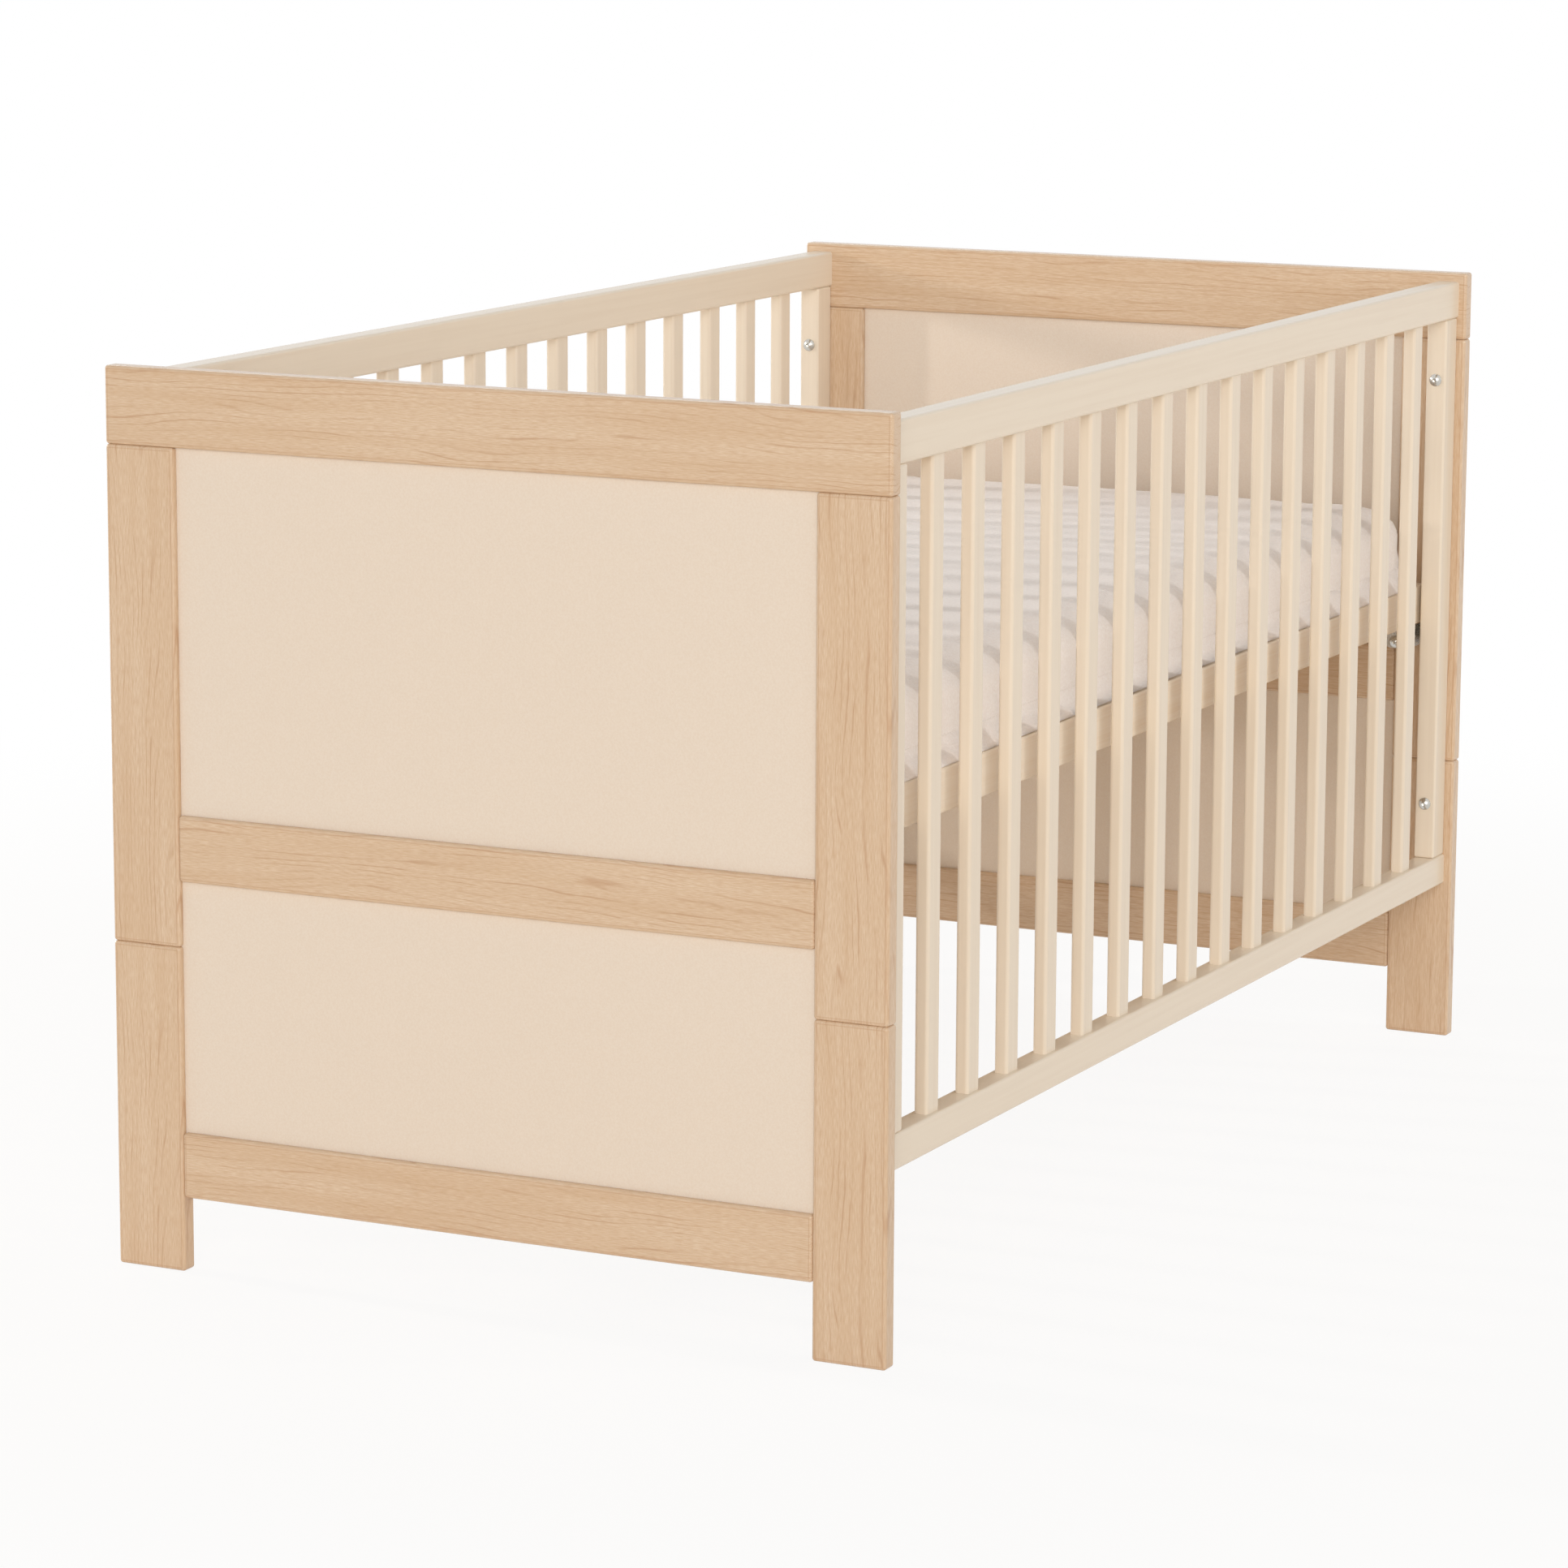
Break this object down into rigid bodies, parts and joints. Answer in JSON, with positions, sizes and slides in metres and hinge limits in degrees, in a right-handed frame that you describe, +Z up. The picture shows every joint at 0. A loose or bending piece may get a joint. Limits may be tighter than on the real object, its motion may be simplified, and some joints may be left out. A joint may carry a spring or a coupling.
{
  "type": "baby crib",
  "caption": "Cot bed with framed panel end boards, barred sides bolted between them and a slatted mattress base that can be set at different heights.",
  "frame": {"origin": "on the floor at the middle of the crib's footprint", "axes": "+X along the length to the head end, -Y to the front side, +Z up"},
  "size_m": [1.44, 0.77, 0.82],
  "materials": {
    "wood_foil": "satin",
    "cream_board": "satin",
    "cream_lacquer": "satin",
    "natural_wood": "satin",
    "beech_dowel": "matte",
    "nickel_steel": "satin",
    "mattress_cover": "matte"
  },
  "bodies": {
    "crib_frame": {"foot_bottom_rail": "wood_foil", "foot_dowels": "beech_dowel", "foot_front_lower_post": "wood_foil", "foot_front_upper_post": "wood_foil", "foot_lower_panel": "cream_board", "foot_mid_rail": "wood_foil", "foot_rear_lower_post": "wood_foil", "foot_rear_upper_post": "wood_foil", "foot_top_rail": "wood_foil", "foot_upper_panel": "cream_board", "front_bars": "cream_lacquer", "front_bottom_rail": "cream_lacquer", "front_foot_stile": "cream_lacquer", "front_head_stile": "cream_lacquer", "front_top_rail": "cream_lacquer", "head_bottom_rail": "wood_foil", "head_dowels": "beech_dowel", "head_front_lower_post": "wood_foil", "head_front_upper_post": "wood_foil", "head_lower_panel": "cream_board", "head_mid_rail": "wood_foil", "head_rear_lower_post": "wood_foil", "head_rear_upper_post": "wood_foil", "head_top_rail": "wood_foil", "head_upper_panel": "cream_board", "height_inserts": "nickel_steel", "rear_bars": "cream_lacquer", "rear_bottom_rail": "cream_lacquer", "rear_foot_stile": "cream_lacquer", "rear_head_stile": "cream_lacquer", "rear_top_rail": "cream_lacquer", "side_bolts": "nickel_steel", "side_dowels": "beech_dowel", "side_inserts": "nickel_steel"},
    "mattress_base": {"base_dowels": "beech_dowel", "base_foot_rail": "natural_wood", "base_front_rail": "natural_wood", "base_head_rail": "natural_wood", "base_rear_rail": "natural_wood", "base_slats": "natural_wood", "bracket_foot_front": "nickel_steel", "bracket_foot_rear": "nickel_steel", "bracket_head_front": "nickel_steel", "bracket_head_rear": "nickel_steel", "bracket_screws": "nickel_steel", "lock_bolts": "nickel_steel", "slat_screws": "nickel_steel"},
    "mattress": {"mattress": "mattress_cover"}
  },
  "joints": [
    {"name": "base_height", "type": "slide", "parent": "crib_frame", "child": "mattress_base", "axis": [0, 0, 1], "range_m": [-0.286, 0]},
    {"name": "mattress_lift", "type": "slide", "parent": "mattress_base", "child": "mattress", "axis": [0, 0, 1], "range_m": [0, 0.36]}
  ]
}
